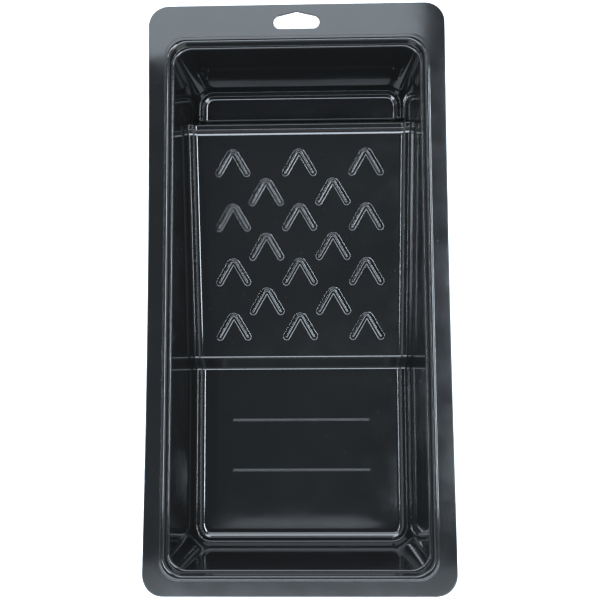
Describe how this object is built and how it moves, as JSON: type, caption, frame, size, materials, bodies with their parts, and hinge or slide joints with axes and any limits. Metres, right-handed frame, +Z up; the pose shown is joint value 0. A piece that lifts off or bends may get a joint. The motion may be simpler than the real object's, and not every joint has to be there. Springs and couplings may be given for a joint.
{
  "type": "paint roller tray",
  "caption": "Deep vacuum-formed plastic tray with a paint well, a ramp with chevron ribs, a rear foot pocket, a stepped flanged rim and a hang hole.",
  "frame": {"origin": "middle of the outline on the plane the tray rests on", "axes": "+Z up, +Y along the tray towards the end with the hang hole, X across the tray and square to its plane of symmetry"},
  "size_m": [0.2032, 0.396, 0.07],
  "materials": {
    "tray_plastic": "gloss black vacuum-formed polystyrene sheet"
  },
  "bodies": {
    "root": {"rim_far": "tray_plastic", "rim_near": "tray_plastic", "rim_left": "tray_plastic", "rim_right": "tray_plastic", "wall_far": "tray_plastic", "wall_near": "tray_plastic", "wall_left": "tray_plastic", "wall_right": "tray_plastic", "pocket_floor": "tray_plastic", "ramp_riser": "tray_plastic", "ramp_crest": "tray_plastic", "ramp_panel": "tray_plastic", "well_step": "tray_plastic", "well_floor": "tray_plastic"}
  },
  "joints": []
}
